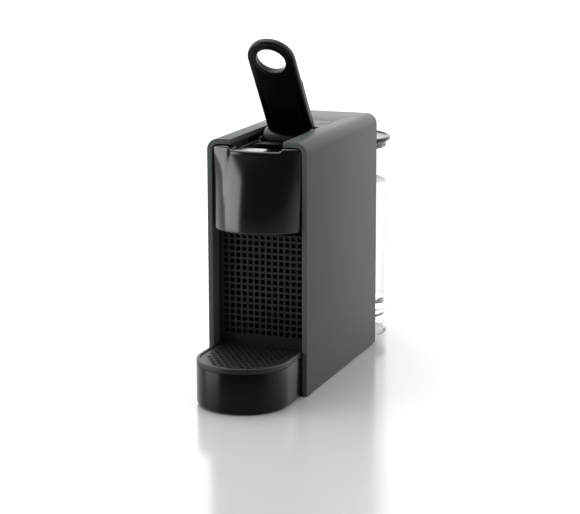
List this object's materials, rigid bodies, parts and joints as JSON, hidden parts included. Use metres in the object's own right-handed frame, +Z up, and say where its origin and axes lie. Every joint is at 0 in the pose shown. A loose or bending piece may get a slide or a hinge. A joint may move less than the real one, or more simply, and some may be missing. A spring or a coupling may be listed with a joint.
{
  "type": "pod coffee machine",
  "caption": "Narrow pod coffee machine: wrap-around shell, bulged black head with raised lever, pierced capsule bin, drip tray with grid, clear rear water tank.",
  "frame": {"origin": "centre of the bounding box at floor level", "axes": "+X to the right as seen from the front, +Y towards the water tank at the back, +Z up"},
  "size_m": [0.084, 0.33, 0.2835],
  "materials": {
    "shell_grey": "satin",
    "gloss_black": "gloss",
    "matt_black": "matt",
    "inner_black": "matt",
    "steel": "satin",
    "brass": "satin",
    "aluminium": "cast",
    "rubber": "matt",
    "clear": "clear",
    "pump_body": "natural",
    "coil": "potted",
    "white_plastic": "natural",
    "orange_plastic": "natural",
    "board_green": "lacquered",
    "hose": "silicone"
  },
  "bodies": {
    "machine": {"outer_shell": "shell_grey", "base_plate": "matt_black", "rubber_feet": "rubber", "tank_dock": "matt_black", "dock_seal": "rubber", "left_frame": "inner_black", "right_frame": "inner_black", "bulkhead": "inner_black", "rear_cover": "matt_black", "rear_screws": "steel", "cord_gland": "matt_black", "head_cover": "gloss_black", "head_floor": "matt_black", "spout": "matt_black", "coffee_collector": "inner_black", "extraction_plate": "steel", "brew_housing": "inner_black", "capsule_guides": "inner_black", "top_deck": "matt_black", "water_sleeve": "brass", "thermoblock": "aluminium", "heater_terminals": "steel", "thermostats": "inner_black", "pump_tube": "pump_body", "pump_coil": "coil", "pump_mounts": "rubber", "flow_body": "white_plastic", "flow_cap": "white_plastic", "feed_hose": "hose", "pressure_hose": "hose", "control_board": "board_green", "board_components": "inner_black", "button_board": "board_green", "tact_switches": "inner_black"},
    "lever": {"lever_frame": "gloss_black", "lever_cover": "shell_grey", "lever_axle": "steel", "lever_cams": "steel"},
    "carriage": {"capsule_cage": "aluminium", "cage_seal": "rubber", "piercing_needles": "steel", "carriage_yoke": "inner_black", "carriage_pin": "steel", "inlet_pipe": "brass"},
    "tray": {"drip_tray": "gloss_black", "capsule_container": "matt_black", "container_grille": "matt_black"},
    "grid": {"drip_grid": "matt_black"},
    "tank": {"water_tank": "clear", "valve_body": "inner_black", "valve_poppet": "white_plastic", "valve_seal": "rubber"},
    "lid": {"tank_lid": "gloss_black", "lid_seal": "rubber"},
    "button_left": {"espresso_button": "shell_grey"},
    "button_right": {"lungo_button": "shell_grey"},
    "plunger": {"pump_plunger": "steel"},
    "impeller": {"flow_impeller": "orange_plastic"}
  },
  "joints": [
    {"name": "lever_hinge", "type": "hinge", "parent": "machine", "child": "lever", "pos_m": [0, -0.0224, 0.19], "axis": [1, 0, 0], "range_deg": [0, 54]},
    {"name": "carriage_slide", "type": "slide", "parent": "machine", "child": "carriage", "axis": [0, -1, 0], "range_m": [0, 0.0241]},
    {"name": "tray_slide", "type": "slide", "parent": "machine", "child": "tray", "axis": [0, -1, 0], "range_m": [0, 0.12]},
    {"name": "grid_lift", "type": "slide", "parent": "tray", "child": "grid", "axis": [0, 0, 1], "range_m": [0, 0.06]},
    {"name": "tank_lift", "type": "slide", "parent": "machine", "child": "tank", "axis": [0, 0, 1], "range_m": [0, 0.08]},
    {"name": "lid_lift", "type": "slide", "parent": "tank", "child": "lid", "axis": [0, 0, 1], "range_m": [0, 0.04]},
    {"name": "left_button_press", "type": "slide", "parent": "machine", "child": "button_left", "axis": [0, 0, -1], "range_m": [0, 0.001], "stiffness_N_per_m": 1200, "springref_m": -0.0005},
    {"name": "right_button_press", "type": "slide", "parent": "machine", "child": "button_right", "axis": [0, 0, -1], "range_m": [0, 0.001], "stiffness_N_per_m": 1200, "springref_m": -0.0005},
    {"name": "pump_stroke", "type": "slide", "parent": "machine", "child": "plunger", "axis": [0, 1, 0], "range_m": [-0.004, 0.004], "stiffness_N_per_m": 300},
    {"name": "flow_spin", "type": "hinge", "parent": "machine", "child": "impeller", "pos_m": [0.022, 0.05, 0.012], "axis": [0, 0, 1], "continuous": true}
  ],
  "couplings": [
    {"joint": "carriage_slide", "follows": "lever_hinge", "m_per_rad": 0.025465}
  ]
}
